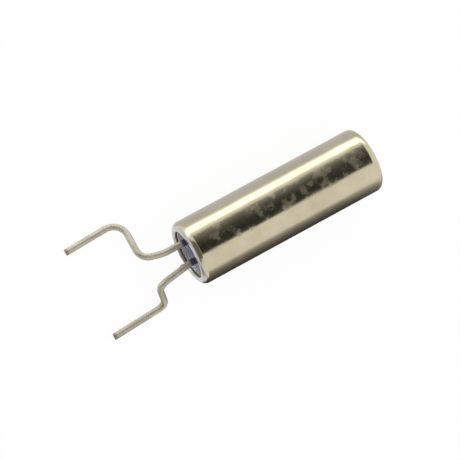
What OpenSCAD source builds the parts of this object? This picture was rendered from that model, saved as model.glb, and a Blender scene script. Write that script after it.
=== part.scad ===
// Cylindrical quartz crystal unit with formed leads, lying on its board.
// X runs along the can from its mouth to its closed end, and Z is up from the board.
// The origin is on the board, under the middle of the can's mouth.

/* [Can] */
// Outer diameter of the can
can_d = 2; // [1.9:0.05:2.6]
// Length of the can from its mouth to its closed end
can_l = 6.2; // [5.6:0.1:9]
// Thickness of the can's drawn wall
can_wall = 0.12; // [0.08:0.01:0.14]
// Thickness of the can's closed end
can_end_t = 0.15; // [0.1:0.01:0.2]
// Outer radius of the corner round the closed end
end_corner_r = 0.24; // [0.2:0.01:0.4]
// Outer radius of the lip that is rolled in at the mouth
lip_r = 0.2; // [0.18:0.01:0.24]

/* [Header ring] */
// Thickness of the ring's wall, between the can and the glass
ring_wall = 0.15; // [0.13:0.01:0.23]
// Length of the ring
ring_l = 0.8; // [0.5:0.02:0.9]

/* [Glass seal] */
// Distance from the ring's front to the rim of the glass
glass_set = 0.02; // [0:0.01:0.1]
// Distance from the ring's inner end to the glass
glass_back_step = 0.05; // [0.02:0.01:0.1]
// Depth of the dish in the front of the glass
glass_dish = 0.03; // [0.01:0.005:0.05]
// Width of the collar of glass that climbs each lead
collar_d = 0.34; // [0.26:0.02:0.44]
// Height of that collar above the rim of the glass
collar_h = 0.05; // [0.02:0.01:0.1]

/* [Lead wire] */
// Diameter of both leads
lead_d = 0.2; // [0.15:0.01:0.22]
// Distance between the leads where they leave the glass
lead_pitch = 0.64; // [0.6:0.02:0.76]
// Sideways shift of the pair from the can's axis
pair_shift = 0.06; // [0:0.01:0.08]
// Distance from the glass to the end of each post inside the can
post_l = 0.7; // [0.5:0.05:0.8]
// Length of the flat pressed on the end of each post
post_flat_l = 0.5; // [0.3:0.05:0.5]

/* [Left lead] */
// Distance from the mouth out to the bow
left_bow_out = 0.6; // [0.4:0.02:0.7]
// Sideways bow of the lead up to the first bend
left_bow = 0.17; // [0.05:0.01:0.24]
// Distance from the mouth out to the first bend
left_run = 1.3; // [1.2:0.02:1.6]
// Distance from the mouth out to the bend at the heel of the foot
left_heel_out = 1.18; // [1:0.01:1.4]
// Distance from the mouth out to the tip of the foot
left_tip_out = 3.04; // [2.4:0.02:3.6]
// Sideways reach of the heel from the can's axis
left_heel_reach = 1.61; // [1.4:0.01:1.9]
// Sideways reach of the tip from the can's axis
left_tip_reach = 1.52; // [1.4:0.01:1.9]
// Centre line radius of the bow
left_bow_r = 1.2; // [0.8:0.1:1.6]
// Centre line radius of the first bend
left_bend_r = 0.36; // [0.24:0.02:0.5]
// Centre line radius of the heel's bend
left_heel_r = 0.46; // [0.2:0.02:0.5]

/* [Right lead] */
// Distance from the mouth out to the first bend
right_run = 1.14; // [0.9:0.02:1.4]
// Sideways splay of the lead between the glass and the first bend
right_splay = 0.18; // [0.08:0.01:0.24]
// Distance from the mouth out to the bend at the heel of the foot
right_heel_out = 0.95; // [0.8:0.01:1.2]
// Distance from the mouth out to the tip of the foot
right_tip_out = 2.76; // [2.2:0.02:3.2]
// Sideways reach of the heel from the can's axis
right_heel_reach = 1.32; // [1.2:0.01:1.6]
// Sideways reach of the tip from the can's axis
right_tip_reach = 1.43; // [1.2:0.01:1.7]
// Centre line radius of the splaying bend
right_splay_r = 0.6; // [0.4:0.05:0.8]
// Centre line radius of the first bend
right_bend_r = 0.32; // [0.2:0.01:0.36]
// Centre line radius of the heel's bend
right_heel_r = 0.3; // [0.2:0.01:0.36]

/* [Quartz fork] */
// Thickness of the quartz plate
fork_t = 0.14; // [0.1:0.01:0.2]
// Width of the fork's base
fork_base_w = 0.96; // [0.9:0.02:1.1]
// Length of the fork's base
fork_base_l = 1.2; // [0.8:0.05:1.4]
// Length of each tine
tine_l = 2.4; // [2:0.05:2.5]
// Width of each tine
tine_w = 0.25; // [0.2:0.01:0.3]
// Gap between the tines
tine_gap = 0.16; // [0.1:0.01:0.2]
// Gap between the fork's end and the round part of each post
fork_clear = 0.03; // [0.02:0.01:0.06]

/* [Solder bonds] */
// Thickness of the solder between a post and the fork
bond_t = 0.02; // [0.01:0.005:0.04]
// Width of each bond
bond_w = 0.14; // [0.1:0.01:0.15]
// Distance from each end of the seat on the post to the solder
bond_inset = 0.05; // [0.02:0.01:0.08]

/* [Hidden] */

$fn = 96;

// Length by which a cut runs past the faces that it opens
overrun = 0.1;
// Steps to a degree in the angles of the wire's bends
steps_per_degree = 1000;

can_r = can_d / 2;
can_bore_r = can_r - can_wall;
mouth_r = can_r - lip_r;
lip_bore_r = lip_r - can_wall;
end_bore_r = end_corner_r - can_wall;
cavity_end_x = can_l - can_end_t;

ring_bore_d = can_d - 2 * (can_wall + ring_wall);
ring_bore_r = ring_bore_d / 2;
ring_end_x = lip_r + ring_l;
glass_front_x = lip_r + glass_set;
glass_back_x = ring_end_x - glass_back_step;
dish_r = (pow(ring_bore_r, 2) + pow(glass_dish, 2)) / (2 * glass_dish);

lead_r = lead_d / 2;
axis_z = can_r;
foot_z = lead_r;
left_y = pair_shift + lead_pitch / 2;
right_y = pair_shift - lead_pitch / 2;
post_end_x = glass_back_x + post_l;
post_flat_x = post_end_x - post_flat_l;

left_path = [
    [post_end_x, left_y, axis_z],
    [-left_bow_out, left_y, axis_z],
    [-left_run, left_y + left_bow, axis_z],
    [-left_heel_out, left_heel_reach, foot_z],
    [-left_tip_out, left_tip_reach, foot_z]
];
right_path = [
    [post_end_x, right_y, axis_z],
    [0, right_y, axis_z],
    [-right_run, right_y - right_splay, axis_z],
    [-right_heel_out, -right_heel_reach, foot_z],
    [-right_tip_out, -right_tip_reach, foot_z]
];

fork_x = post_flat_x + fork_clear;
fork_z = axis_z + bond_t;
tines_x = fork_x + fork_base_l;
bond_x = fork_x + bond_inset;
bond_l = post_end_x - bond_inset - bond_x;

// Direction of a vector
function unit(v) = v / norm(v);

// Angle rounded to a whole number of steps
function stepped(angle) = round(angle * steps_per_degree) / steps_per_degree;

// Heading of a path's stretch after point i
function way(path, i) = unit(path[i + 1] - path[i]);

// Angle through which the wire turns at corner i
function turn(path, i) = stepped(acos(way(path, i - 1) * way(path, i)));

// Direction, square to the wire, in which it turns at corner i
function toward(path, i) =
    unit(way(path, i) - (way(path, i) * way(path, i - 1)) * way(path, i - 1));

// Side of the wire that its bends are counted from, after corner i
function side(path, i) =
    i == 0 ? [0, 0, 1] : cos(turn(path, i)) * toward(path, i) - sin(turn(path, i)) * way(path, i - 1);

// Angle round the wire from that side to the direction of the bend at corner i
function roll(path, i) = stepped(atan2(
    cross(side(path, i - 1), toward(path, i)) * way(path, i - 1),
    side(path, i - 1) * toward(path, i)
));

// Length that the bend at corner i takes from the wire on each side of the corner
function bend_trim(path, radii, i) =
    i == 0 || i == len(path) - 1 ? 0 : radii[i - 1] * tan(turn(path, i) / 2);

// Length of the straight stretch after point i
function straight_l(path, radii, i) =
    norm(path[i + 1] - path[i]) - bend_trim(path, radii, i) - bend_trim(path, radii, i + 1);

// Turns a shape made round Z so that it lies along the can
module along_can() {
    translate([0, 0, axis_z])
        rotate([0, 90, 0])
            children();
}

// Bend of wire that starts upwards at the origin and turns towards X
module bend(radius, angle) {
    translate([radius, 0, 0])
        rotate([-90, 0, 0])
            rotate_extrude(angle = angle, start = 180)
                translate([radius, 0])
                    circle(r = lead_r);
}

// Wire that follows a path from point i on, starting upwards at the origin
module wire_from(path, radii, i) {
    length = straight_l(path, radii, i);
    cylinder(r = lead_r, h = length);
    if (i < len(radii))
        translate([0, 0, length])
            rotate([0, 0, roll(path, i + 1)]) {
                bend(radii[i], turn(path, i + 1));
                translate([radii[i], 0, 0])
                    rotate([0, turn(path, i + 1), 0])
                        translate([-radii[i], 0, 0])
                            wire_from(path, radii, i + 1);
            }
}

// Lead with a flat on the post where the fork is soldered
module lead(path, radii) {
    difference() {
        translate(path[0])
            rotate([0, -90, 0])
                wire_from(path, radii, 0);
        translate([post_flat_x, path[0][1] - lead_d, axis_z])
            cube([post_flat_l + overrun, 2 * lead_d, lead_d]);
    }
}

// Half section of the can's outside, from its axis out
module can_outside() {
    translate([0, lip_r])
        square([can_r, can_l - lip_r - end_corner_r]);
    square([mouth_r, lip_r]);
    translate([mouth_r, lip_r])
        circle(r = lip_r);
    translate([0, can_l - end_corner_r])
        square([can_r - end_corner_r, end_corner_r]);
    translate([can_r - end_corner_r, can_l - end_corner_r])
        circle(r = end_corner_r);
}

// Half section of the space inside the can, open at the mouth
module can_inside() {
    translate([0, lip_r])
        square([can_bore_r, cavity_end_x - lip_r - end_bore_r]);
    translate([0, -overrun])
        square([mouth_r, lip_r + overrun]);
    translate([mouth_r, lip_r])
        circle(r = lip_bore_r);
    translate([0, cavity_end_x - end_bore_r])
        square([can_bore_r - end_bore_r, end_bore_r]);
    translate([can_bore_r - end_bore_r, cavity_end_x - end_bore_r])
        circle(r = end_bore_r);
}

// Half section of the can, with a round edge on its lip
module can_section() {
    difference() {
        can_outside();
        can_inside();
    }
    translate([mouth_r, can_wall / 2])
        circle(d = can_wall);
}

module can() {
    color([0.78, 0.74, 0.62])
        along_can()
            rotate_extrude()
                can_section();
}

module header_ring() {
    color([0.62, 0.60, 0.55])
        along_can()
            rotate_extrude()
                translate([ring_bore_r, lip_r])
                    square([ring_wall, ring_l]);
}

module glass_seal() {
    color([0.36, 0.39, 0.50])
        difference() {
            union() {
                along_can()
                    difference() {
                        translate([0, 0, glass_front_x])
                            cylinder(r = ring_bore_r, h = glass_back_x - glass_front_x);
                        translate([0, 0, glass_front_x + glass_dish - dish_r])
                            sphere(r = dish_r);
                    }
                for (y = [left_y, right_y])
                    translate([0, y, 0])
                        along_can()
                            translate([0, 0, glass_front_x - collar_h])
                                cylinder(r1 = lead_r, r2 = collar_d / 2, h = collar_h + glass_dish);
            }
            for (y = [left_y, right_y])
                translate([0, y, 0])
                    along_can()
                        cylinder(r = lead_r, h = ring_end_x);
        }
}

module left_lead() {
    color([0.74, 0.71, 0.62])
        lead(left_path, [left_bow_r, left_bend_r, left_heel_r]);
}

module right_lead() {
    color([0.74, 0.71, 0.62])
        lead(right_path, [right_splay_r, right_bend_r, right_heel_r]);
}

module quartz_fork() {
    color([0.85, 0.88, 0.90])
        translate([0, pair_shift, fork_z])
            linear_extrude(fork_t) {
                translate([fork_x, -fork_base_w / 2])
                    square([fork_base_l, fork_base_w]);
                for (half = [-1, 1])
                    translate([tines_x, half * (tine_gap + tine_w) / 2 - tine_w / 2])
                        square([tine_l, tine_w]);
            }
}

// Solder on one post, under the fork's base
module bond(y) {
    color([0.80, 0.80, 0.78])
        translate([bond_x, y - bond_w / 2, axis_z])
            cube([bond_l, bond_w, bond_t]);
}

module left_bond() {
    bond(left_y);
}

module right_bond() {
    bond(right_y);
}

can();
header_ring();
glass_seal();
left_lead();
right_lead();
quartz_fork();
left_bond();
right_bond();
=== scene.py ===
"""Looks of a cylindrical quartz crystal unit that lies on a white table.

Sizes are millimetres in the part's own frame: X runs along the can from its mouth to its closed
end, Y goes towards the left lead and Z is up from the table. Meshes are scaled to metres as they
are made.
"""

import logging
import math
from dataclasses import dataclass
from enum import Enum
from typing import Any, Sequence

import bmesh
import bpy
from mathutils import Matrix, Vector


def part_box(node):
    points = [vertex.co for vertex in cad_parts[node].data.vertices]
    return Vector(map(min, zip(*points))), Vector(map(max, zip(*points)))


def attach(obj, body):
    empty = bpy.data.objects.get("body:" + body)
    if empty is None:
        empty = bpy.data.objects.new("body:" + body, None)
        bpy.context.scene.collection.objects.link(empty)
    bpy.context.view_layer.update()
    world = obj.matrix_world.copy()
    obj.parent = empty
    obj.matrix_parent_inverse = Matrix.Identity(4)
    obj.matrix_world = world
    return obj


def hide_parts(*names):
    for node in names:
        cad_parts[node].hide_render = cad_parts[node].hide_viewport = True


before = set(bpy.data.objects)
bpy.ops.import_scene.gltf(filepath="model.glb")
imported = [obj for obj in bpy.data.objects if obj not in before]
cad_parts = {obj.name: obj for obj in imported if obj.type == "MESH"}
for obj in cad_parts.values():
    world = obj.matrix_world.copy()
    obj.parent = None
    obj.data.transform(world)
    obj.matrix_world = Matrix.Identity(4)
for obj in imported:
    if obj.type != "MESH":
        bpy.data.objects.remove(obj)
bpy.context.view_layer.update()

LOG = logging.getLogger("crystal_unit")
MM = 0.001
BODY = "root"
WIRE_MAP = "along_wire"
FULL_TURN = 2 * math.pi
RIGHT_ANGLE = math.pi / 2
WELD = 0.0001  # Points of a mesh that are nearer than this are one point.
UP = (0.0, 0.0, 1.0)
ALONG_CAN = (1.0, 0.0, 0.0)
ACROSS_CAN = (0.0, 1.0, 1.0)  # Keeps a place's Y and Z and drops its X.
CAMERA_AXES = (1.0, -1.0, -1.0)  # A camera looks along its -Z, with Y up.
VECTOR, FLOAT, COLOUR = "NodeSocketVector", "NodeSocketFloat", "NodeSocketColor"

Colour = tuple[float, float, float]
Point = tuple[float, float, float]
Profile = list[tuple[float, float]]
Ring = list[bmesh.types.BMVert]
Socket = bpy.types.NodeSocket


def rgba(colour: Colour) -> tuple[float, float, float, float]:
    """Give a colour with full opacity."""
    return (*colour, 1.0)


def node_box(node: str) -> tuple[Vector, Vector]:
    """Give a CAD node's lowest and highest corners in millimetres."""
    low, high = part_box(node)
    return low / MM, high / MM


def arc(middle: tuple[float, float], radius: float, start: float, end: float, steps: int) -> Profile:
    """Give the points of an arc in a profile.

    Args:
        middle: The arc's centre, along the can and out from its axis.
        radius: The arc's radius.
        start: Angle of the first point in degrees, from the can's length towards its radius.
        end: Angle of the last point in degrees.
        steps: Number of stretches.

    Returns:
        The points from start to end.
    """
    angles = [math.radians(start + (end - start) * i / steps) for i in range(steps + 1)]
    return [(middle[0] + radius * math.cos(a), middle[1] + radius * math.sin(a)) for a in angles]


def line(first: tuple[float, float], last: tuple[float, float], steps: int) -> Profile:
    """Give the points between two points of a profile, without its ends."""
    shares = [i / steps for i in range(1, steps)]
    return [(first[0] + (last[0] - first[0]) * s, first[1] + (last[1] - first[1]) * s) for s in shares]


def circle(middle: Vector, radius: float, sides: int, shift: float = 0.0) -> list[Vector]:
    """Give the points of a circle that faces along the can, turned by a share of a side."""
    turns = [FULL_TURN * (i + shift) / sides for i in range(sides)]
    return [middle + Vector((0.0, math.sin(a), -math.cos(a))) * radius for a in turns]


def link_new(name: str, data: bpy.types.ID) -> bpy.types.Object:
    """Make an object and put it in the scene.

    Args:
        name: Name of the object.
        data: Its mesh, lamp or camera.

    Returns:
        The object.
    """
    made = bpy.data.objects.new(name, data)
    bpy.context.scene.collection.objects.link(made)
    return made


class MeshMaker:
    """Collects rings of points in millimetres and turns them into an object in metres."""

    sharp_deg = 32.0

    def __init__(self, name: str) -> None:
        """Start an empty mesh for a piece of that name."""
        self.name = name
        self.mesh = bmesh.new()

    def ring(self, points: Sequence[Vector]) -> Ring:
        """Add the points of one ring."""
        return [self.mesh.verts.new(p) for p in points]

    def bridge(self, first: Ring, second: Ring) -> list[bmesh.types.BMFace]:
        """Join two rings, either of which may be a single point.

        Args:
            first: Points of the one ring.
            second: Points of the other ring.

        Returns:
            The faces between them, in order round the ring.
        """
        faces = []
        count = max(len(first), len(second))
        for i in range(count):
            k = (i + 1) % count
            if len(first) == 1:
                corners = [first[0], second[k], second[i]]
            elif len(second) == 1:
                corners = [first[i], first[k], second[0]]
            else:
                corners = [first[i], first[k], second[k], second[i]]
            faces.append(self.mesh.faces.new(corners))
        return faces

    def skin(self, rings: Sequence[Ring]) -> None:
        """Join rings in order, each to the next."""
        for first, second in zip(rings, rings[1:]):
            self.bridge(first, second)

    def finish(self) -> bpy.types.Object:
        """Weld the mesh, smooth it between its sharp edges and put it in the scene.

        Returns:
            The new object, in metres.
        """
        bmesh.ops.remove_doubles(self.mesh, verts=self.mesh.verts, dist=WELD)
        bmesh.ops.recalc_face_normals(self.mesh, faces=self.mesh.faces)
        for face in self.mesh.faces:
            face.smooth = True
        for edge in self.mesh.edges:
            edge.smooth = edge.calc_face_angle(0.0) < math.radians(self.sharp_deg)
        bmesh.ops.scale(self.mesh, vec=Vector((MM, MM, MM)), verts=self.mesh.verts)
        data = bpy.data.meshes.new(self.name)
        self.mesh.to_mesh(data)
        self.mesh.free()
        return link_new(self.name, data)


def clean_up(piece: bpy.types.Object) -> None:
    """Take points that fall together or lie midway along an edge out of a piece.

    Args:
        piece: A piece that was cut.
    """
    mesh = bmesh.new()
    mesh.from_mesh(piece.data)
    bmesh.ops.remove_doubles(mesh, verts=mesh.verts, dist=WELD * MM)
    bmesh.ops.dissolve_degenerate(mesh, edges=mesh.edges, dist=WELD * MM)
    bmesh.ops.dissolve_verts(mesh, verts=[v for v in mesh.verts if len(v.link_edges) == 2])
    mesh.to_mesh(piece.data)
    mesh.free()


def revolve(name: str, profile: Profile, axis_z: float, sides: int) -> bpy.types.Object:
    """Turn a profile round the can's axis.

    Args:
        name: Name of the piece.
        profile: Points along the can and out from its axis, in order round the section. A section
            that starts and ends on the axis is closed by it.
        axis_z: Height of the can's axis.
        sides: Points round each ring.

    Returns:
        The turned piece.
    """
    maker = MeshMaker(name)
    rings = []
    for x, r in profile:
        middle = Vector((x, 0.0, axis_z))
        rings.append(maker.ring(circle(middle, r, sides) if r > 0 else [middle]))
    if len(rings[0]) > 1:
        rings.append(rings[0])
    maker.skin(rings)
    return maker.finish()


def dress(piece: bpy.types.Object, node: str, material: bpy.types.Material) -> None:
    """Finish a piece that stands for a CAD node.

    Args:
        piece: The new piece.
        node: The CAD node that it stands for.
        material: The piece's material.
    """
    piece.data.materials.append(material)
    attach(piece, BODY)
    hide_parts(node)
    LOG.info("%s stands for %s with %d faces", piece.name, node, len(piece.data.polygons))


class Noise(Enum):
    """Kinds of noise, by the number of layers in each and the strength of a layer against the last."""

    SLOW = (1.0, 0.5)
    SOFT = (2.0, 0.5)
    DRIFT = (3.0, 0.5)
    LINES = (3.0, 0.6)
    RAGGED = (3.0, 0.7)
    CLOUDS = (4.0, 0.6)
    ETCHED = (4.0, 0.65)


class Graph:
    """Adds nodes to one node tree and joins them."""

    def __init__(self, tree: bpy.types.NodeTree) -> None:
        """Work on that tree."""
        self.tree = tree

    def add(self, kind: str, inputs: dict[Any, Any] | None = None, **settings: Any) -> bpy.types.Node:
        """Add a node.

        Args:
            kind: The node's type.
            inputs: Values or sockets by the name or number of the input that takes them.
            settings: Properties of the node.

        Returns:
            The new node.
        """
        node = self.tree.nodes.new(kind)
        for key, value in settings.items():
            setattr(node, key, value)
        self.feed(node, inputs or {})
        return node

    def feed(self, node: bpy.types.Node, inputs: dict[Any, Any]) -> None:
        """Set a node's inputs, or join those whose value is a socket.

        Args:
            node: The node.
            inputs: Values or sockets by the name or number of the input that takes them.
        """
        for key, value in inputs.items():
            if isinstance(value, bpy.types.NodeSocket):
                self.tree.links.new(value, node.inputs[key])
            else:
                node.inputs[key].default_value = value

    def math(self, operation: str, *values: Any) -> Socket:
        """Work out a sum of one, two or three values."""
        return self.add("ShaderNodeMath", dict(enumerate(values)), operation=operation).outputs[0]

    def vector(self, operation: str, *values: Any) -> Socket:
        """Work out a sum of vectors."""
        return self.add("ShaderNodeVectorMath", dict(enumerate(values)), operation=operation).outputs[0]

    def axes(self, place: Any) -> bpy.types.NodeOutputs:
        """Split a place into its three numbers."""
        return self.add("ShaderNodeSeparateXYZ", {0: place}).outputs

    def blend(self, share: Any, low: Any, high: Any) -> Socket:
        """Mix two values by a share."""
        return self.add("ShaderNodeMix", {0: share, 2: low, 3: high}, data_type="FLOAT").outputs[0]

    def tint(self, share: Any, low: Any, high: Any) -> Socket:
        """Mix two colours by a share."""
        return self.add("ShaderNodeMix", {0: share, 6: low, 7: high}, data_type="RGBA").outputs[2]

    def ramp(self, value: Any, low: Any, high: Any) -> Socket:
        """Give 0 up to low and 1 from high on, with a soft step between."""
        inputs = {"Value": value, "From Min": low, "From Max": high}
        return self.add("ShaderNodeMapRange", inputs, interpolation_type="SMOOTHSTEP").outputs[0]

    def noise(self, where: Any, waves: Any, kind: Noise) -> Socket:
        """Give a noise about 0.5.

        Args:
            where: The place that it follows, in millimetres.
            waves: Number of waves to the millimetre.
            kind: Kind of noise.

        Returns:
            The noise.
        """
        detail, roughness = kind.value
        inputs = {"Vector": where, "Scale": waves, "Detail": detail, "Roughness": roughness}
        return self.add("ShaderNodeTexNoise", inputs).outputs[0]

    def bump(self, height: Any, depth: float, under: Any = None) -> Socket:
        """Give the normal of a relief.

        Args:
            height: The relief, from 0 to 1.
            depth: Its depth in millimetres.
            under: Normal of a slower relief that it lies on, if there is one.

        Returns:
            The normal.
        """
        inputs = {"Height": height, "Distance": depth * MM, "Strength": 1.0}
        if under is not None:
            inputs["Normal"] = under
        return self.add("ShaderNodeBump", inputs).outputs[0]

    def place_mm(self) -> Socket:
        """Give the place on the part in millimetres."""
        place = self.add("ShaderNodeTexCoord").outputs["Object"]
        return self.add("ShaderNodeVectorMath", {0: place, "Scale": 1 / MM}, operation="SCALE").outputs[0]

    def wire_mm(self) -> Socket:
        """Give the place on a wire in millimetres, along it from its cut tip and round it."""
        return self.add("ShaderNodeUVMap", uv_map=WIRE_MAP).outputs[0]


class Effect:
    """A node group that several finishes share, built the first time it is placed."""

    name = ""
    takes: dict[str, str] = {}
    gives: dict[str, str] = {}

    def wire(self, graph: Graph, given: dict[str, Any]) -> dict[str, Any]:
        """Build the group's inside.

        Args:
            graph: The group's own tree.
            given: The group's input sockets by name.

        Returns:
            The sockets that feed the group's outputs, by name.
        """
        raise NotImplementedError

    def tree(self) -> bpy.types.NodeTree:
        """Give the group, and build it if it isn't there.

        Returns:
            The group's tree.
        """
        found = bpy.data.node_groups.get(self.name)
        if found:
            return found
        made = bpy.data.node_groups.new(self.name, "ShaderNodeTree")
        for way, sockets in (("INPUT", self.takes), ("OUTPUT", self.gives)):
            for name, kind in sockets.items():
                made.interface.new_socket(name, in_out=way, socket_type=kind)
        graph = Graph(made)
        source = graph.add("NodeGroupInput")
        sink = graph.add("NodeGroupOutput")
        graph.feed(sink, self.wire(graph, {name: source.outputs[name] for name in self.takes}))
        return made

    def put(self, graph: Graph, **values: Any) -> Socket:
        """Place the group in a material.

        Args:
            graph: The material's graph.
            values: Values or sockets by the name of the input that takes them.

        Returns:
            The group's first output.
        """
        node = graph.add("ShaderNodeGroup", node_tree=self.tree())
        graph.feed(node, values)
        return node.outputs[0]


class DrawnGrain(Effect):
    """Fine lines that a drawing die leaves along metal."""

    name = "drawn_grain"
    takes = {"Place": VECTOR, "Along": FLOAT, "Across": FLOAT}
    gives = {"Height": FLOAT}

    def wire(self, graph: Graph, given: dict[str, Any]) -> dict[str, Any]:
        """Stretch a noise along X.

        Args:
            graph: The group's own tree.
            given: The group's input sockets by name.

        Returns:
            The height by its name.
        """
        inputs = {0: given["Along"], 1: given["Across"], 2: given["Across"]}
        stretch = graph.add("ShaderNodeCombineXYZ", inputs).outputs[0]
        place = graph.vector("MULTIPLY", given["Place"], stretch)
        return {"Height": graph.noise(place, 1.0, Noise.LINES)}


class Scuffs(Effect):
    """Ragged rubbed patches."""

    name = "scuffs"
    takes = {"Place": VECTOR, "Waves": FLOAT, "Level": FLOAT, "Soft": FLOAT, "Ragged": FLOAT}
    gives = {"Mask": FLOAT}
    fine_share = 7.0
    middle = 0.5

    def wire(self, graph: Graph, given: dict[str, Any]) -> dict[str, Any]:
        """Cut a coarse noise, made ragged by a fine one, at a level.

        Args:
            graph: The group's own tree.
            given: The group's input sockets by name.

        Returns:
            The mask by its name.
        """
        coarse = graph.noise(given["Place"], given["Waves"], Noise.SOFT)
        fine_waves = graph.math("MULTIPLY", given["Waves"], self.fine_share)
        fine = graph.noise(given["Place"], fine_waves, Noise.RAGGED)
        ragged = graph.math("MULTIPLY", graph.math("SUBTRACT", fine, self.middle), given["Ragged"])
        height = graph.math("ADD", coarse, ragged)
        low = graph.math("SUBTRACT", given["Level"], given["Soft"])
        high = graph.math("ADD", given["Level"], given["Soft"])
        return {"Mask": graph.ramp(height, low, high)}


class Tarnish(Effect):
    """Slow drift of a surface's colour between clean and stained."""

    name = "tarnish"
    takes = {"Place": VECTOR, "Waves": FLOAT, "Clean": COLOUR, "Stained": COLOUR}
    gives = {"Colour": COLOUR}
    clean_level = 0.3
    stained_level = 0.75

    def wire(self, graph: Graph, given: dict[str, Any]) -> dict[str, Any]:
        """Mix the two colours by a soft noise.

        Args:
            graph: The group's own tree.
            given: The group's input sockets by name.

        Returns:
            The colour by its name.
        """
        drift = graph.noise(given["Place"], given["Waves"], Noise.CLOUDS)
        share = graph.ramp(drift, self.clean_level, self.stained_level)
        return {"Colour": graph.tint(share, given["Clean"], given["Stained"])}


class Zone(Effect):
    """Mask of a stretch between two values, with soft ends."""

    name = "zone"
    takes = {"Value": FLOAT, "From": FLOAT, "To": FLOAT, "Soft": FLOAT}
    gives = {"Mask": FLOAT}

    def wire(self, graph: Graph, given: dict[str, Any]) -> dict[str, Any]:
        """Multiply a rising step by a falling one.

        Args:
            graph: The group's own tree.
            given: The group's input sockets by name.

        Returns:
            The mask by its name.
        """
        before = graph.math("SUBTRACT", given["From"], given["Soft"])
        after = graph.math("ADD", given["To"], given["Soft"])
        rise = graph.ramp(given["Value"], before, given["From"])
        fall = graph.ramp(given["Value"], given["To"], after)
        return {"Mask": graph.math("MULTIPLY", rise, graph.math("SUBTRACT", 1.0, fall))}


def new_material(name: str) -> tuple[bpy.types.Material, Graph, bpy.types.Node]:
    """Make a material.

    Args:
        name: Name of the finish.

    Returns:
        The material, its graph and its shader.
    """
    material = bpy.data.materials.new(name)
    material.use_nodes = True
    shader = material.node_tree.nodes["Principled BSDF"]
    return material, Graph(material.node_tree), shader


@dataclass(frozen=True)
class MetalFinish:
    """Satin metal with drawn lines, slow stains and a slightly uneven surface.

    Lengths are millimetres and waves are counted to the millimetre.

    Attributes:
        drift_share: Waves of the roughness to one wave of the stains.
    """

    name: str
    clean: Colour
    stained: Colour
    edge: Colour
    roughness: float
    rough_drift: float
    stain_waves: float = 1.1
    drift_share: float = 3.0
    grain_along: float = 1.5
    grain_across: float = 30.0
    grain_depth: float = 0.0002
    swell_waves: float = 0.8
    swell_depth: float = 0.004

    def place(self, graph: Graph) -> Socket:
        """Give the place that the finish follows."""
        return graph.place_mm()

    def colour(self, graph: Graph, place: Any) -> Socket:
        """Give the colour over the surface."""
        return Tarnish().put(graph, Place=place, Waves=self.stain_waves, Clean=rgba(self.clean),
                             Stained=rgba(self.stained))

    def gloss(self, graph: Graph, place: Any) -> Socket:
        """Give the roughness over the surface."""
        drift = graph.noise(place, self.stain_waves * self.drift_share, Noise.DRIFT)
        return graph.blend(drift, self.roughness - self.rough_drift, self.roughness + self.rough_drift)

    def normal(self, graph: Graph, place: Any) -> Socket:
        """Lay drawn lines on a slow swell.

        Args:
            graph: The material's graph.
            place: The place that the finish follows.

        Returns:
            The normal.
        """
        slow = graph.bump(graph.noise(place, self.swell_waves, Noise.SLOW), self.swell_depth)
        grain = DrawnGrain().put(graph, Place=place, Along=self.grain_along, Across=self.grain_across)
        return graph.bump(grain, self.grain_depth, slow)

    def material(self) -> bpy.types.Material:
        """Build the finish.

        Returns:
            The material.
        """
        material, graph, shader = new_material(self.name)
        place = self.place(graph)
        graph.feed(shader, {
            "Metallic": 1.0,
            "Specular Tint": rgba(self.edge),
            "Base Color": self.colour(graph, place),
            "Roughness": self.gloss(graph, place),
            "Normal": self.normal(graph, place),
        })
        return material


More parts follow.
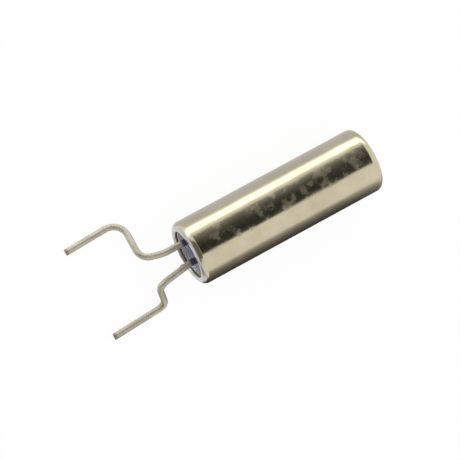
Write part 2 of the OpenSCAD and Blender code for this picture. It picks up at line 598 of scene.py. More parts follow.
@dataclass(frozen=True)
class CanFinish(MetalFinish):
    """Metal of the can, with a rubbed strip along one side and a lip worn to the bare metal.

    Attributes:
        axis_z: Height of the can's axis.
        strip_from_deg: Start of the strip round the can, from straight up towards the left lead.
        strip_to_deg: End of the strip round the can.
        strip_start: Start of the strip along the can.
        strip_end: End of the strip along the can.
        lip_end: Distance from the mouth up to which the lip is worn.
    """

    axis_z: float = 1.0
    strip_from_deg: float = 6.0
    strip_to_deg: float = 40.0
    strip_soft_deg: float = 6.0
    strip_start: float = 0.55
    strip_end: float = 5.8
    strip_soft: float = 0.2
    scuff_waves: float = 3.0
    scuff_level: float = 0.55
    scuff_soft: float = 0.1
    scuff_ragged: float = 0.35
    scuff_roughness: float = 0.31
    lip_end: float = 0.045
    lip_soft: float = 0.05
    lip_metal: Colour = (0.56, 0.545, 0.52)
    lip_roughness: float = 0.27

    def worn_lip(self, graph: Graph, place: Any) -> Socket:
        """Give the mask of the worn lip."""
        drawn = graph.ramp(graph.axes(place)[0], self.lip_end, self.lip_end + self.lip_soft)
        return graph.math("SUBTRACT", 1.0, drawn)

    def rubbed(self, graph: Graph, place: Any) -> Socket:
        """Find where the can was rubbed.

        Args:
            graph: The material's graph.
            place: The place that the finish follows.

        Returns:
            The strip's mask.
        """
        x, y, z = graph.axes(place)
        angle = graph.math("DEGREES", graph.math("ARCTAN2", y, graph.math("SUBTRACT", z, self.axis_z)))
        round_can = Zone().put(graph, Value=angle, From=self.strip_from_deg, To=self.strip_to_deg,
                               Soft=self.strip_soft_deg)
        along_can = Zone().put(graph, Value=x, From=self.strip_start, To=self.strip_end,
                               Soft=self.strip_soft)
        ragged = Scuffs().put(graph, Place=place, Waves=self.scuff_waves, Level=self.scuff_level,
                              Soft=self.scuff_soft, Ragged=self.scuff_ragged)
        return graph.math("MULTIPLY", graph.math("MULTIPLY", round_can, along_can), ragged)

    def colour(self, graph: Graph, place: Any) -> Socket:
        """Give the can's colour, or the bare metal's on the lip."""
        return graph.tint(self.worn_lip(graph, place), super().colour(graph, place), rgba(self.lip_metal))

    def gloss(self, graph: Graph, place: Any) -> Socket:
        """Give the roughness, raised on the rubbed strip and the lip."""
        rubbed = graph.blend(self.rubbed(graph, place), super().gloss(graph, place), self.scuff_roughness)
        return graph.blend(self.worn_lip(graph, place), rubbed, self.lip_roughness)


@dataclass(frozen=True)
class WireFinish(MetalFinish):
    """Tinned wire whose core shows where it was cut, and which is darker inside the mouth: oxidised where
    the glass was fired on it, with painted shade from the lip over that.

    Attributes:
        core: Colour of the core.
        core_reach: Length over which the cut smeared it along the wire.
        oxide_and_shade: Colour inside the mouth, the oxidised wire darkened further by painted shade from
            the lip.
        oxide_and_shade_x: Distance from the mouth inwards from which the wire is oxidised and carries
            painted shade.
        oxide_and_shade_soft: Length over which that darkening fades.
    """

    core: Colour = (0.36, 0.25, 0.2)
    core_reach: float = 0.12
    oxide_and_shade: Colour = (0.12, 0.12, 0.165)
    oxide_and_shade_x: float = -0.02
    oxide_and_shade_soft: float = 0.05

    def place(self, graph: Graph) -> Socket:
        """Give the place along and round the wire."""
        return graph.wire_mm()

    def colour(self, graph: Graph, place: Any) -> Socket:
        """Show the core at the cut, the oxidised wire with painted shade inside the mouth, and the tin
        between them.

        Args:
            graph: The material's graph.
            place: The place that the finish follows.

        Returns:
            The colour.
        """
        tin = graph.ramp(graph.axes(place)[0], 0.0, self.core_reach)
        outside = graph.tint(tin, rgba(self.core), super().colour(graph, place))
        # Inside the mouth the wire is oxidised and also darkened by painted shade from the lip.
        x = graph.axes(graph.place_mm())[0]
        oxidised_and_shaded = graph.ramp(x, self.oxide_and_shade_x - self.oxide_and_shade_soft, self.oxide_and_shade_x + self.oxide_and_shade_soft)
        return graph.tint(oxidised_and_shaded, outside, rgba(self.oxide_and_shade))


@dataclass(frozen=True)
class GlassFinish:
    """Fired sealing glass, darker round each lead: oxidised at the seal, with painted shade of the mouth's
    recess over that.

    Attributes:
        oxide_and_shade_reach: Distance from a lead's middle at which the darkening ends.
    """

    name: str
    clear: Colour
    cloudy: Colour
    oxide_and_shade: Colour
    roughness: float
    oxide_and_shade_reach: float
    cloud_waves: float = 3.0
    ripple_waves: float = 5.0
    ripple_depth: float = 0.002
    refraction: float = 1.52
    coat: float = 0.3

    def material(self, lead_places: Sequence[Point]) -> bpy.types.Material:
        """Build the finish.

        Args:
            lead_places: Places of the leads in the plane of the mouth.

        Returns:
            The material.
        """
        material, graph, shader = new_material(self.name)
        place = graph.place_mm()
        colour = Tarnish().put(graph, Place=place, Waves=self.cloud_waves, Clean=rgba(self.clear),
                               Stained=rgba(self.cloudy))
        flat = graph.vector("MULTIPLY", place, ACROSS_CAN)
        # Darken the glass round each lead: oxidised seal with painted shade of the recess.
        for lead in lead_places:
            away = graph.add("ShaderNodeVectorMath", {0: flat, 1: lead}, operation="DISTANCE")
            near = Zone().put(graph, Value=away.outputs["Value"], From=0.0, To=0.0, Soft=self.oxide_and_shade_reach)
            colour = graph.tint(near, colour, rgba(self.oxide_and_shade))
        graph.feed(shader, {
            "Base Color": colour,
            "Roughness": self.roughness,
            "IOR": self.refraction,
            "Coat Weight": self.coat,
            "Normal": graph.bump(graph.noise(place, self.ripple_waves, Noise.SOFT), self.ripple_depth),
        })
        return material


@dataclass(frozen=True)
class QuartzFinish:
    """Etched quartz with metal films along its tines.

    Attributes:
        film_edges: Distances from the mouth between which the films lie.
    """

    name: str
    quartz: Colour
    film: Colour
    film_edges: tuple[float, float]
    film_soft: float = 0.02
    roughness: float = 0.25
    etched_roughness: float = 0.5
    etch_waves: float = 14.0
    etch_depth: float = 0.001

    def material(self) -> bpy.types.Material:
        """Build the finish.

        Returns:
            The material.
        """
        material, graph, shader = new_material(self.name)
        place = graph.place_mm()
        start, end = self.film_edges
        film = Zone().put(graph, Value=graph.axes(place)[0], From=start, To=end, Soft=self.film_soft)
        etch = graph.noise(place, self.etch_waves, Noise.ETCHED)
        graph.feed(shader, {
            "Base Color": graph.tint(film, rgba(self.quartz), rgba(self.film)),
            "Metallic": film,
            "Roughness": graph.blend(etch, self.roughness, self.etched_roughness),
            "Normal": graph.bump(etch, self.etch_depth),
        })
        return material


@dataclass(frozen=True)
class Can:
    """Deep-drawn can with a rounded closed end and a lip rolled in at its mouth.

    Attributes:
        wall: Thickness of the drawn wall.
        end_t: Thickness of the closed end.
        corner_r: Outer radius of the corner round the closed end.
        lip_r: Outer radius of the lip, which ends in a round edge.
        crease_deg: Place of the rolling tool's crease round the lip, from the can's side.
        crease_deg_w: Width of the crease.
        crease_depth: Depth of the crease.
    """

    finish: CanFinish
    wall: float = 0.12
    end_t: float = 0.15
    corner_r: float = 0.24
    lip_r: float = 0.2
    crease_deg: float = 24.0
    crease_deg_w: float = 7.0
    crease_depth: float = 0.004
    sides: int = 192
    arc_steps: int = 16
    lip_steps: int = 48
    side_steps: int = 30

    def lip_outside(self, middle: tuple[float, float]) -> Profile:
        """Give the outside of the lip, with the crease in it.

        Args:
            middle: Centre of the lip's curve.

        Returns:
            Points from the can's side to the round edge.
        """
        points = []
        for i in range(self.lip_steps + 1):
            turn = RIGHT_ANGLE * i / self.lip_steps
            away = (math.degrees(turn) - self.crease_deg) / self.crease_deg_w
            r = self.lip_r - self.crease_depth * math.exp(-away * away)
            points.append((middle[0] - r * math.sin(turn), middle[1] + r * math.cos(turn)))
        return points

    def profile(self, length: float, radius: float) -> Profile:
        """Give the section of the can's wall.

        Args:
            length: Outer length of the can.
            radius: Outer radius of the can.

        Returns:
            Points from the middle of the closed end's outside, round the mouth, to that of its inside.
        """
        corner = (length - self.corner_r, radius - self.corner_r)
        lip = (self.lip_r, radius - self.lip_r)
        inner_end = length - self.end_t
        inner_r = self.corner_r - self.wall
        inner_corner = (inner_end - inner_r, radius - self.wall - inner_r)
        return [
            (length, 0.0),
            (length, corner[1] / 2),
            *arc(corner, self.corner_r, 0.0, 90.0, self.arc_steps),
            *line((corner[0], radius), (lip[0], radius), self.side_steps),
            *self.lip_outside(lip),
            *arc((self.wall / 2, lip[1]), self.wall / 2, 180.0, 360.0, self.arc_steps)[1:],
            *arc(lip, self.lip_r - self.wall, 180.0, 90.0, self.arc_steps)[1:],
            *arc(inner_corner, inner_r, 90.0, 0.0, self.arc_steps),
            (inner_end, 0.0),
        ]

    def build(self) -> None:
        """Build the can in place of its CAD node and dress it."""
        low, high = node_box("can")
        radius = (high.z - low.z) / 2
        piece = revolve("can_shell", self.profile(high.x, radius), low.z + radius, self.sides)
        dress(piece, "can", self.finish.material())


@dataclass(frozen=True)
class Header:
    """Metal ring pressed into the mouth, and the glass that seals the leads in it.

    Attributes:
        axis_z: Height of the can's axis.
        lead_r: Radius of a lead.
        lead_ys: Places of the leads across the can.
        edge_r: Radius of the edges of the ring's front.
        rim_w: Width of the rim round the ring's bore.
        rim_h: Height of that rim above the ring's front, inside the can's lip.
        dish: Depth of the dish in the front of the glass.
        collar_r: Radius of the glass that climbs each lead.
        collar_h: Height of that collar above the rim of the glass.
        bore_shift: Share of a side by which the bores' cutters are turned, to miss the points of the glass.
    """

    ring_finish: MetalFinish
    glass_finish: GlassFinish
    axis_z: float
    lead_r: float
    lead_ys: tuple[float, float]
    edge_r: float = 0.02
    rim_w: float = 0.022
    rim_h: float = 0.083
    dish: float = 0.03
    collar_r: float = 0.17
    collar_h: float = 0.05
    sides: int = 160
    bore_sides: int = 48
    bore_shift: float = 0.5
    edge_steps: int = 4
    glass_rings: int = 44

    def build(self) -> None:
        """Build the ring and the glass."""
        self.ring()
        self.glass()

    def bore_r(self) -> float:
        """Give the radius of the glass, which fills the ring's bore."""
        low, high = node_box("glass_seal")
        return (high.z - low.z) / 2

    def ring(self) -> None:
        """Build the ring."""
        low, high = node_box("header_ring")
        inner, outer = self.bore_r(), (high.z - low.z) / 2
        x, r, rim_r = low.x + self.edge_r, self.edge_r, self.rim_w / 2
        profile = [
            *arc((low.x - self.rim_h + rim_r, inner + rim_r), rim_r, 270.0, 90.0, 2 * self.edge_steps),
            (low.x, inner + self.rim_w),
            *arc((x, outer - r), r, 180.0, 90.0, self.edge_steps),
            (high.x, outer),
            (high.x, inner),
        ]
        piece = revolve("header_eyelet", profile, self.axis_z, self.sides)
        dress(piece, "header_ring", self.ring_finish.material())

    def front(self, y: float, z: float, rim_x: float) -> float:
        """Give the glass's front at a point.

        Args:
            y: Place across the can.
            z: Place above the can's axis.
            rim_x: Distance from the mouth to the rim of the glass.

        Returns:
            Distance from the mouth, less on the collar that climbs a lead.
        """
        depth = self.dish * (1 - (y * y + z * z) / self.bore_r() ** 2)
        climb = 0.0
        for lead_y in self.lead_ys:
            share = (math.hypot(y - lead_y, z) - self.lead_r) / (self.collar_r - self.lead_r)
            climb = max(climb, (1 - min(max(share, 0.0), 1.0)) ** 2)
        return rim_x + depth - climb * (depth + self.collar_h)

    def glass(self) -> None:
        """Build the glass, with a bore for each lead."""
        low, high = node_box("glass_seal")
        rim_x, bore_r = low.x + self.collar_h, self.bore_r()
        maker = MeshMaker("glass_bead")
        rings = []
        for i in range(self.glass_rings + 1):
            spots = circle(Vector(), bore_r * i / self.glass_rings, self.sides) if i else [Vector()]
            fronts = [(self.front(s.y, s.z, rim_x), s.y, self.axis_z + s.z) for s in spots]
            rings.append(maker.ring([Vector(p) for p in fronts]))
        back = Vector((high.x, 0.0, self.axis_z))
        rings.append(maker.ring(circle(back, bore_r, self.sides)))
        rings.append(maker.ring([back]))
        maker.skin(rings)
        piece = maker.finish()
        for lead_y in self.lead_ys:
            self.bore(piece, Vector((-high.x, lead_y, self.axis_z)), 2 * high.x)
        clean_up(piece)
        glass = self.glass_finish.material([(0.0, y, self.axis_z) for y in self.lead_ys])
        dress(piece, "glass_seal", glass)

    def bore(self, piece: bpy.types.Object, start: Vector, end_x: float) -> None:
        """Cut the hole that a lead fills.

        Args:
            piece: The glass.
            start: Middle of the cutter's front end, outside the mouth.
            end_x: Distance from the mouth to the cutter's back end.
        """
        maker = MeshMaker("bore_cutter")
        end = Vector((end_x, start.y, start.z))
        rounds = [circle(p, self.lead_r, self.bore_sides, self.bore_shift) for p in (start, end)]
        maker.skin([maker.ring(points) for points in ([start], *rounds, [end])])
        cutter = maker.finish()
        cut = piece.modifiers.new("bore", "BOOLEAN")
        cut.object = cutter
        cut.operation = "DIFFERENCE"
        cut.solver = "EXACT"
        whole = piece.data
        after = piece.evaluated_get(bpy.context.evaluated_depsgraph_get())
        piece.data = bpy.data.meshes.new_from_object(after)
        piece.modifiers.clear()
        bpy.data.meshes.remove(whole)
        bpy.data.objects.remove(cutter)


class LeadSide(Enum):
    """The two leads, by the CAD node of each."""

    LEFT = "left_lead"
    RIGHT = "right_lead"


@dataclass(frozen=True)
class Course:
    """Corners of one lead, measured out from the mouth and sideways from the can's axis.

    Attributes:
        post_flat_l: Length of the flat on the post inside the can.
        slant_out: Distance out to the slight bend from which the lead slants.
        slant: Sideways slant from there to the first bend.
        run: Distance out to the first bend.
        heel: Distance out and sideways reach of the bend at the heel of the foot.
        tip: Distance out and sideways reach of the cut tip.
        radii: Centre line radii of the three bends, in order from the can.
    """

    post_flat_l: float
    slant_out: float
    slant: float
    run: float
    heel: tuple[float, float]
    tip: tuple[float, float]
    radii: tuple[float, float, float]

    def corners(self, post_end: float, y: float, axis_z: float, foot_z: float) -> list[Vector]:
        """Give the corners from the post's end to the tip.

        Args:
            post_end: Distance from the mouth in to the post's end.
            y: Place of the lead across the can, in the glass.
            axis_z: Height of the can's axis.
            foot_z: Height of the foot's centre line.

        Returns:
            The corners in order.
        """
        return [
            Vector((post_end, y, axis_z)),
            Vector((-self.slant_out, y, axis_z)),
            Vector((-self.run, y + self.slant, axis_z)),
            Vector((-self.heel[0], self.heel[1], foot_z)),
            Vector((-self.tip[0], self.tip[1], foot_z)),
        ]


@dataclass
class Station:
    """One cross-section of a wire.

    Attributes:
        place: Middle of the section.
        heading: Direction of the wire.
        lean: Direction towards the middle of the bend.
        squeeze: Share of the bend's flattening.
        width: Share of the wire's radius.
        flat: Whether the top half is pressed away.
    """

    place: Vector
    heading: Vector
    lean: Vector
    squeeze: float = 0.0
    width: float = 1.0
    flat: bool = False


@dataclass(frozen=True)
class Nib:
    """Small lump of tin on a wire.

    Attributes:
        place: Middle of the lump on the wire's surface.
        height: How far it stands out.
        spread: Distance over which it falls away.
    """

    place: Point
    height: float
    spread: float


@dataclass(frozen=True)
class Lead:
    """Round wire from the fork's post, out through the glass and down to a foot on the table.

    Attributes:
        side: Which of the two leads it is.
        course: The lead's corners.
        bend_flattening: Share by which a bend flattens the wire.
        kink: How far the outside of the tight bends stands out, where they were pinched.
        kink_sharpness: Power by which that falls away along the bend.
        nibs: Lumps of tin on the wire.
        tip_slant: Slant of the cut, as a share of the offset from the wire's middle.
        tip_round: Radius of the cut's edge.
        tip_rings: Number of sections, counted from the cut, that lean with it.
    """

    side: LeadSide
    finish: WireFinish
    course: Course
    axis_z: float
    radius: float
    y: float
    bend_flattening: float = 0.06
    kink: float = 0.0
    kink_sharpness: int = 14
    nibs: tuple[Nib, ...] = ()
    tip_slant: float = 0.12
    tip_round: float = 0.012
    tip_rings: int = 2
    sides: int = 40
    bend_step_deg: float = 3.0
    straight_step: float = 0.025

    def straight(self, first: Vector, last: Vector) -> list[Station]:
        """Give the sections along a straight stretch, without its last.

        Args:
            first: Start of the stretch.
            last: End of the stretch.

        Returns:
            The sections in order.
        """
        heading = (last - first).normalized()
        count = max(1, math.ceil((last - first).length / self.straight_step))
        lean = heading.orthogonal().normalized()
        return [Station(first.lerp(last, i / count), heading, lean) for i in range(count)]

    def bend(self, corner: Vector, before: Vector, after: Vector, radius: float) -> list[Station]:
        """Give the sections round a bend, with both its ends.

        Args:
            corner: Where the straight stretches would meet.
            before: Heading up to the corner.
            after: Heading from the corner on.
            radius: Centre line radius of the bend.

        Returns:
            The sections in order.
        """
        angle = before.angle(after)
        lean = (after - before * after.dot(before)).normalized()
        start = corner - before * (radius * math.tan(angle / 2))
        middle = start + lean * radius
        count = math.ceil(math.degrees(angle) / self.bend_step_deg)
        tightness = min(1.0, angle / RIGHT_ANGLE)
        stations = []
        for i in range(count + 1):
            a = angle * i / count
            place = middle + (before * math.sin(a) - lean * math.cos(a)) * radius
            heading = before * math.cos(a) + lean * math.sin(a)
            squeeze = tightness * math.sin(math.pi * i / count)
            stations.append(Station(place, heading, (middle - place).normalized(), squeeze))
        return stations

    def stations(self) -> list[Station]:
        """Follow the wire from the post's end to the cut tip.

        Returns:
            The sections in order.
        """
        post_end = node_box(self.side.value)[1].x
        points = self.course.corners(post_end, self.y, self.axis_z, self.radius)
        made: list[Station] = []
        last = points[0]
        for i, radius in enumerate(self.course.radii, 1):
            before = (points[i] - points[i - 1]).normalized()
            after = (points[i + 1] - points[i]).normalized()
            turned = self.bend(points[i], before, after, radius)
            made += self.straight(last, turned[0].place) + turned[:-1]
            last = turned[-1].place
        heading = (points[-1] - last).normalized()
        edge = points[-1] - heading * self.tip_round
        lean = heading.orthogonal().normalized()
        made += self.straight(last, edge)
        made.append(Station(edge, heading, lean))
        made.append(Station(points[-1], heading, lean, width=1 - self.tip_round / self.radius))
        return self.with_flat(made, post_end - self.course.post_flat_l)

    def with_flat(self, made: list[Station], flat_x: float) -> list[Station]:
        """Press the flat on the post, with a square step at its end.

        Args:
            made: The sections from the post's end on.
            flat_x: Distance from the mouth to the step.

        Returns:
            The sections with those of the step among them.
        """
        post = [s for s in made if s.place.x > flat_x]
        for station in post:
            station.flat = True
        place = post[-1].place.copy()
        place.x = flat_x
        step = [Station(place, post[-1].heading, post[-1].lean, flat=flat) for flat in (True, False)]
        return post + step + made[len(post):]

    def section(self, station: Station, side: Vector, slant: float) -> list[Vector]:
        """Give the points of one section.

        Args:
            station: The section.
            side: Direction, square to the wire, that the points are counted from.
            slant: How far the section leans along the wire, as a share of the offset from its middle.

        Returns:
            The points round the wire.
        """
        points = []
        across = station.heading.cross(side)
        squeeze = self.bend_flattening * station.squeeze
        for i in range(self.sides):
            a = FULL_TURN * i / self.sides
            offset = (side * math.cos(a) + across * math.sin(a)) * self.radius * station.width
            inward = offset.dot(station.lean)
            offset += station.lean * (-squeeze * inward) + (offset - station.lean * inward) * squeeze
            outer = max(0.0, -inward / self.radius)
            offset -= station.lean * (self.kink * outer * station.squeeze ** self.kink_sharpness)
            point = station.place + offset + station.heading * (slant * offset.dot(side))
            for nib in self.nibs:
                away = (point - Vector(nib.place)).length / nib.spread
                point += offset.normalized() * (nib.height * math.exp(-away * away))
            if station.flat:
                point.z = min(point.z, station.place.z)
            points.append(point)
        return points

    def build(self) -> None:
        """Build the wire in place of its CAD node and dress it."""
        maker = MeshMaker(self.side.value + "_wire")
        map_layer = maker.mesh.loops.layers.uv.new(WIRE_MAP)
        stations = self.stations()
        lengths = [0.0]
        for first, second in zip(stations, stations[1:]):
            lengths.append(lengths[-1] + (second.place - first.place).length)
        side = Vector(UP)
        rings = []
        for i, station in enumerate(stations):
            side = (side - station.heading * side.dot(station.heading)).normalized()
            slant = self.tip_slant if i >= len(stations) - self.tip_rings else 0.0
            rings.append(maker.ring(self.section(station, side, slant)))
        girth = FULL_TURN * self.radius / self.sides
        for i, (first, second) in enumerate(zip(rings, rings[1:])):
            for k, face in enumerate(maker.bridge(first, second)):
                spots = ((i, k), (i, k + 1), (i + 1, k + 1), (i + 1, k))
                for loop, (ring_i, turn) in zip(face.loops, spots):
                    loop[map_layer].uv = (lengths[-1] - lengths[ring_i], turn * girth)
        for ring, along in ((rings[0], lengths[-1]), (rings[-1], -self.radius)):
            for loop in maker.mesh.faces.new(ring).loops:
                loop[map_layer].uv = (along, 0.0)
        dress(maker.finish(), self.side.value, self.finish.material())


@dataclass(frozen=True)
class Resonator:
    """Quartz fork and the solder that holds it, which keep their CAD solids."""

    quartz_finish: QuartzFinish
    solder_finish: MetalFinish

    def build(self) -> None:
        """Dress the CAD nodes inside the can."""
        solder = self.solder_finish.material()
        finishes = {"quartz_fork": self.quartz_finish.material(), "left_bond": solder, "right_bond": solder}
        for node, material in finishes.items():
            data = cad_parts[node].data
            data.materials.clear()
            data.materials.append(material)
            LOG.info("%s keeps its solid", node)


@dataclass(frozen=True)
class Panel:
    """Flat rectangle of the studio.

    Attributes:
        middle: Middle of the panel.
        facing: Direction in which its front faces.
        width: Size along the can, or nearly so.
        height: Size across that.
    """

    name: str
    middle: Point
    facing: Point
    width: float
    height: float

    def placing(self) -> Matrix:
        """Place the panel with its width along the can and -Z where it faces.

        Returns:
            The panel's matrix, in metres.
        """
        back = -Vector(self.facing).normalized()
        along = Vector(ALONG_CAN)
        level = (along - back * along.dot(back)).normalized()
        turned = Matrix((level, back.cross(level), back)).transposed().to_4x4()
        return Matrix.Translation(Vector(self.middle) * MM) @ turned

    def sheet(self) -> bpy.types.Object:
        """Build the panel as a mesh.

        Returns:
            The panel.
        """
        maker = MeshMaker(self.name)
        w, h = self.width / 2, self.height / 2
        corners = ((-w, -h, 0.0), (w, -h, 0.0), (w, h, 0.0), (-w, h, 0.0))
        maker.mesh.faces.new(maker.ring([Vector(p) for p in corners]))
        made = maker.finish()
        made.matrix_world = self.placing()
        return made


@dataclass(frozen=True)
class ToneCard(Panel):
    """Card that only metal and glass show, from one tone at its foot to another at its head.

    Attributes:
        foot: Tone along the lower edge.
        head: Tone along the upper edge.
        ease: Power of the share by which the tones mix, over 1 where the foot's tone reaches far.
        fade: Length over which the card turns clear towards its end beyond the can.
    """

    foot: Colour = (0.0, 0.0, 0.0)
    head: Colour = (0.0, 0.0, 0.0)
    ease: float = 1.0
    fade: float = 0.0

    def build(self) -> None:
        """Build the card."""
        made = self.sheet()
        material, graph, shader = new_material(self.name)
        along, up, _ = graph.axes(graph.place_mm())
        span = {"Value": up, "From Min": -self.height / 2, "From Max": self.height / 2}
        share = graph.add("ShaderNodeMapRange", span).outputs[0]
        tone = graph.tint(graph.math("POWER", share, self.ease), rgba(self.foot), rgba(self.head))
        surface = graph.add("ShaderNodeEmission", {"Color": tone, "Strength": 1.0}).outputs[0]
        if self.fade:
            gone = graph.ramp(along, self.width / 2 - self.fade, self.width / 2)
            clear = graph.add("ShaderNodeBsdfTransparent").outputs[0]
            surface = graph.add("ShaderNodeMixShader", {0: gone, 1: surface, 2: clear}).outputs[0]
        graph.tree.nodes.remove(shader)
        graph.feed(material.node_tree.nodes["Material Output"], {"Surface": surface})
        made.data.materials.append(material)
        made.visible_camera = made.visible_diffuse = made.visible_shadow = False


@dataclass(frozen=True)
class StripLamp(Panel):
    """Soft lamp."""

    radiance: float = 1.0

    def build(self) -> None:
        """Build the lamp."""
        light = bpy.data.lights.new(self.name, "AREA")
        light.shape = "RECTANGLE"
        light.size = self.width * MM
        light.size_y = self.height * MM
        light.energy = self.radiance * math.pi * light.size * light.size_y
        made = link_new(self.name, light)
        made.matrix_world = self.placing()
        made.visible_camera = False


@dataclass(frozen=True)
class Studio:
    """White table under an even white sky, with a soft strip lamp and the cards that the metal shows; three
    of the cards are painted shadow and shade of the part on the table.
    """

    table_half: float = 400.0
    table_white: float = 0.95
    table_glow_share: float = 0.92
    sky: float = 1.0
    strip: StripLamp = StripLamp("strip_lamp", (5.0, 7.0, 1.48), (0.0, -1.0, 0.0), 24.0, 2.9, radiance=1.35)
    cards: tuple[ToneCard, ...] = (
        ToneCard("overhead_card", (34.5, 63.5, 110.0), (-0.242, -0.488, -0.838), 78.0, 180.0,
                 foot=(0.022, 0.022, 0.02), head=(0.42, 0.42, 0.4), ease=4.0),
        ToneCard("front_card", (-106.0, 22.9, 71.5), (0.82, -0.176, -0.545), 310.0, 162.0,
                 foot=(0.18, 0.175, 0.16), head=(0.18, 0.175, 0.16)),
        # Painted shadow: a card beside the can, dark at its foot, that the metal shows as the can's shadow
        # on the table.
        ToneCard("painted_shadow_card", (5.05, -5.05, 2.36), (0.0, 0.561, 0.827), 10.9, 8.34,
                 foot=(0.035, 0.034, 0.032), head=(0.9, 0.895, 0.88), ease=1.4, fade=5.0),
        # Painted shadow: a card beside the right lead's foot that the wire shows as its shadow on the
        # table.
        ToneCard("painted_foot_shadow_card", (-2.8, -3.1, 0.86), (0.0, 0.515, 0.857), 2.6, 3.27,
                 foot=(0.15, 0.145, 0.135), head=(0.9, 0.895, 0.88), ease=1.2),
        # Painted shade: a grey mat beside the can that the metal shows as the table shaded next to it.
        ToneCard("painted_shade_mat", (4.35, 2.9, 0.01), (0.0, 0.0, 1.0), 9.3, 3.8,
                 foot=(0.72, 0.74, 0.82), head=(0.72, 0.74, 0.82)),
    )

    def table(self) -> None:
        """Build the table, which shows white to the camera and in metal and glass, and keeps shadows."""
        size = 2 * self.table_half
        made = Panel("table", (0.0, 0.0, 0.0), (0.0, 0.0, -1.0), size, size).sheet()
        material, graph, shader = new_material("table_white")
        white = (self.table_white,) * 3
        graph.feed(shader, {"Base Color": rgba(white), "Roughness": 1.0, "Specular IOR Level": 0.0})
        rays = graph.add("ShaderNodeLightPath").outputs
        seen = graph.math("MAXIMUM", rays["Is Camera Ray"], rays["Is Glossy Ray"])
        seen = graph.math("MAXIMUM", seen, rays["Is Transmission Ray"])
        share = graph.math("MULTIPLY", seen, self.table_glow_share)
        glow = graph.add("ShaderNodeEmission", {"Color": rgba((1.0, 1.0, 1.0)), "Strength": 1.0})
        mixed = graph.add("ShaderNodeMixShader", {0: share, 1: shader.outputs[0], 2: glow.outputs[0]})
        graph.feed(material.node_tree.nodes["Material Output"], {"Surface": mixed.outputs[0]})
        made.data.materials.append(material)

    def world(self) -> None:
        """Light the scene with an even white sky."""
        sky = bpy.data.worlds.new("white_sky")
        sky.use_nodes = True
        inputs = {"Color": rgba((1.0, 1.0, 1.0)), "Strength": self.sky}
        Graph(sky.node_tree).feed(sky.node_tree.nodes["Background"], inputs)
        bpy.context.scene.world = sky

    def build(self) -> None:
        """Build the studio."""
        self.world()
        self.table()
        self.strip.build()
        for card in self.cards:
            card.build()
        bpy.context.scene.view_settings.view_transform = "Standard"


@dataclass(frozen=True)
class PhotoView:
    """Camera that sees the part as the photograph does.

    Attributes:
        frame_px: Side of the photograph.
        mouth_px: Where the middle of the can's mouth falls in it.
        px_per_mm: Scale of the photograph at that point.
        distance: Depth of that point in front of the camera.
        axis_deg: Angle of the can in the photograph, above level.
        tilt_deg: Angle by which the closed end leans away.
        roll_deg: Angle of the table about the can's axis.
        sensor: Width of the camera's sensor.
    """

    frame_px: float = 460.0
    mouth_px: tuple[float, float] = (186.96, 255.23)
    px_per_mm: float = 34.615
    distance: float = 100.0
    axis_deg: float = 28.44
    tilt_deg: float = 14.8
    roll_deg: float = 18.0
    sensor: float = 36.0
    clip_share: float = 0.01

    def axes(self) -> Matrix:
        """Turn the part as the photograph shows it.

        Returns:
            The part's axes as columns of right, down and away.
        """
        turn, tilt, roll = (math.radians(a) for a in (self.axis_deg, self.tilt_deg, self.roll_deg))
        along = Vector((math.cos(turn) * math.cos(tilt), -math.sin(turn) * math.cos(tilt), math.sin(tilt)))
        across = Vector((math.sin(turn), math.cos(turn), 0.0))
        up = across * math.sin(roll) + across.cross(along) * math.cos(roll)
        return Matrix((along, up.cross(along), up)).transposed()

    def build(self, axis_z: float) -> None:
        """Build the camera, which becomes the scene's own.

        Args:
            axis_z: Height of the can's axis.
        """
        axes = self.axes()
        offset = [(p - self.frame_px / 2) / self.px_per_mm for p in self.mouth_px]
        mouth = Vector((*offset, self.distance))
        place = Vector((0.0, 0.0, axis_z)) - axes.transposed() @ mouth
        turned = axes.transposed() @ Matrix.Diagonal(CAMERA_AXES)
        data = bpy.data.cameras.new("photo_camera")
        data.sensor_width = self.sensor
        data.lens = self.sensor * self.px_per_mm * self.distance / self.frame_px
        data.clip_start = self.distance * MM * self.clip_share
        data.clip_end = self.distance * MM / self.clip_share
        made = link_new("photo_camera", data)
        made.matrix_world = Matrix.Translation(place * MM) @ turned.to_4x4()
        bpy.context.scene.camera = made


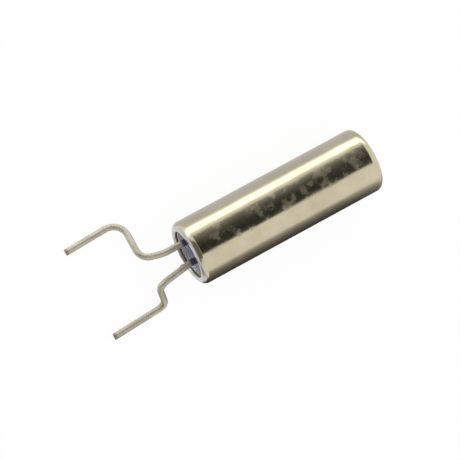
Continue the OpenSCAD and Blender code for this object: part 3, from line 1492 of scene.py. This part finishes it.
CAN_METAL = CanFinish("champagne_can", clean=(0.61, 0.545, 0.395), stained=(0.54, 0.475, 0.335),
                      edge=(1.0, 0.99, 0.98), roughness=0.17, rough_drift=0.04, grain_depth=0.0004,
                      swell_waves=1.3, swell_depth=0.012)
RING_METAL = MetalFinish("plated_ring", clean=(0.85, 0.86, 0.86), stained=(0.70, 0.71, 0.70),
                         edge=(0.8, 0.8, 0.8), roughness=0.6, rough_drift=0.06, stain_waves=3.0)
LEAD_TIN = WireFinish("tinned_wire", clean=(0.65, 0.605, 0.51), stained=(0.53, 0.475, 0.385),
                      edge=(0.7, 0.67, 0.6), roughness=0.6, rough_drift=0.05, stain_waves=2.2,
                      grain_along=1.2, grain_across=22.0, grain_depth=0.00004, swell_waves=3.0,
                      swell_depth=0.001)
SOLDER = MetalFinish("dull_solder", clean=(0.52, 0.52, 0.51), stained=(0.38, 0.38, 0.38),
                     edge=(0.6, 0.6, 0.6), roughness=0.45, rough_drift=0.1, stain_waves=9.0)
# The glass's dark colour round the leads is an oxidised seal with painted shade.
GLASS = GlassFinish("seal_glass", clear=(0.13, 0.145, 0.23), cloudy=(0.18, 0.19, 0.275),
                    oxide_and_shade=(0.03, 0.028, 0.035), roughness=0.12, oxide_and_shade_reach=0.27)
QUARTZ = QuartzFinish("filmed_quartz", quartz=(0.72, 0.75, 0.78), film=(0.78, 0.70, 0.48),
                      film_edges=(2.3, 4.4))

LEFT_COURSE = Course(post_flat_l=0.5, slant_out=0.6, slant=0.17, run=1.3,
                     heel=(1.18, 1.61), tip=(3.04, 1.52), radii=(1.2, 0.36, 0.46))
RIGHT_COURSE = Course(post_flat_l=0.5, slant_out=0.0, slant=-0.18, run=1.14,
                      heel=(0.95, -1.32), tip=(2.76, -1.43), radii=(0.6, 0.27, 0.25))
RIGHT_NIB = Nib(place=(-0.27, -0.2, 0.97), height=0.03, spread=0.045)


def main() -> None:
    """Build the part's looks, the studio and the camera."""
    logging.basicConfig(level=logging.INFO)
    can_low, can_high = node_box("can")
    axis_z = (can_low.z + can_high.z) / 2
    lead_r = node_box(LeadSide.LEFT.value)[1].z - axis_z
    bonds = [node_box(bond) for bond in ("left_bond", "right_bond")]
    left_y, right_y = ((low.y + high.y) / 2 for low, high in bonds)
    PhotoView().build(axis_z)
    Studio().build()
    Can(CAN_METAL).build()
    Header(RING_METAL, GLASS, axis_z, lead_r, (left_y, right_y)).build()
    Lead(LeadSide.LEFT, LEAD_TIN, LEFT_COURSE, axis_z, lead_r, left_y).build()
    Lead(LeadSide.RIGHT, LEAD_TIN, RIGHT_COURSE, axis_z, lead_r, right_y,
         bend_flattening=0.1, kink=0.035, nibs=(RIGHT_NIB,)).build()
    Resonator(QUARTZ, SOLDER).build()


if __name__ == "__main__":
    main()
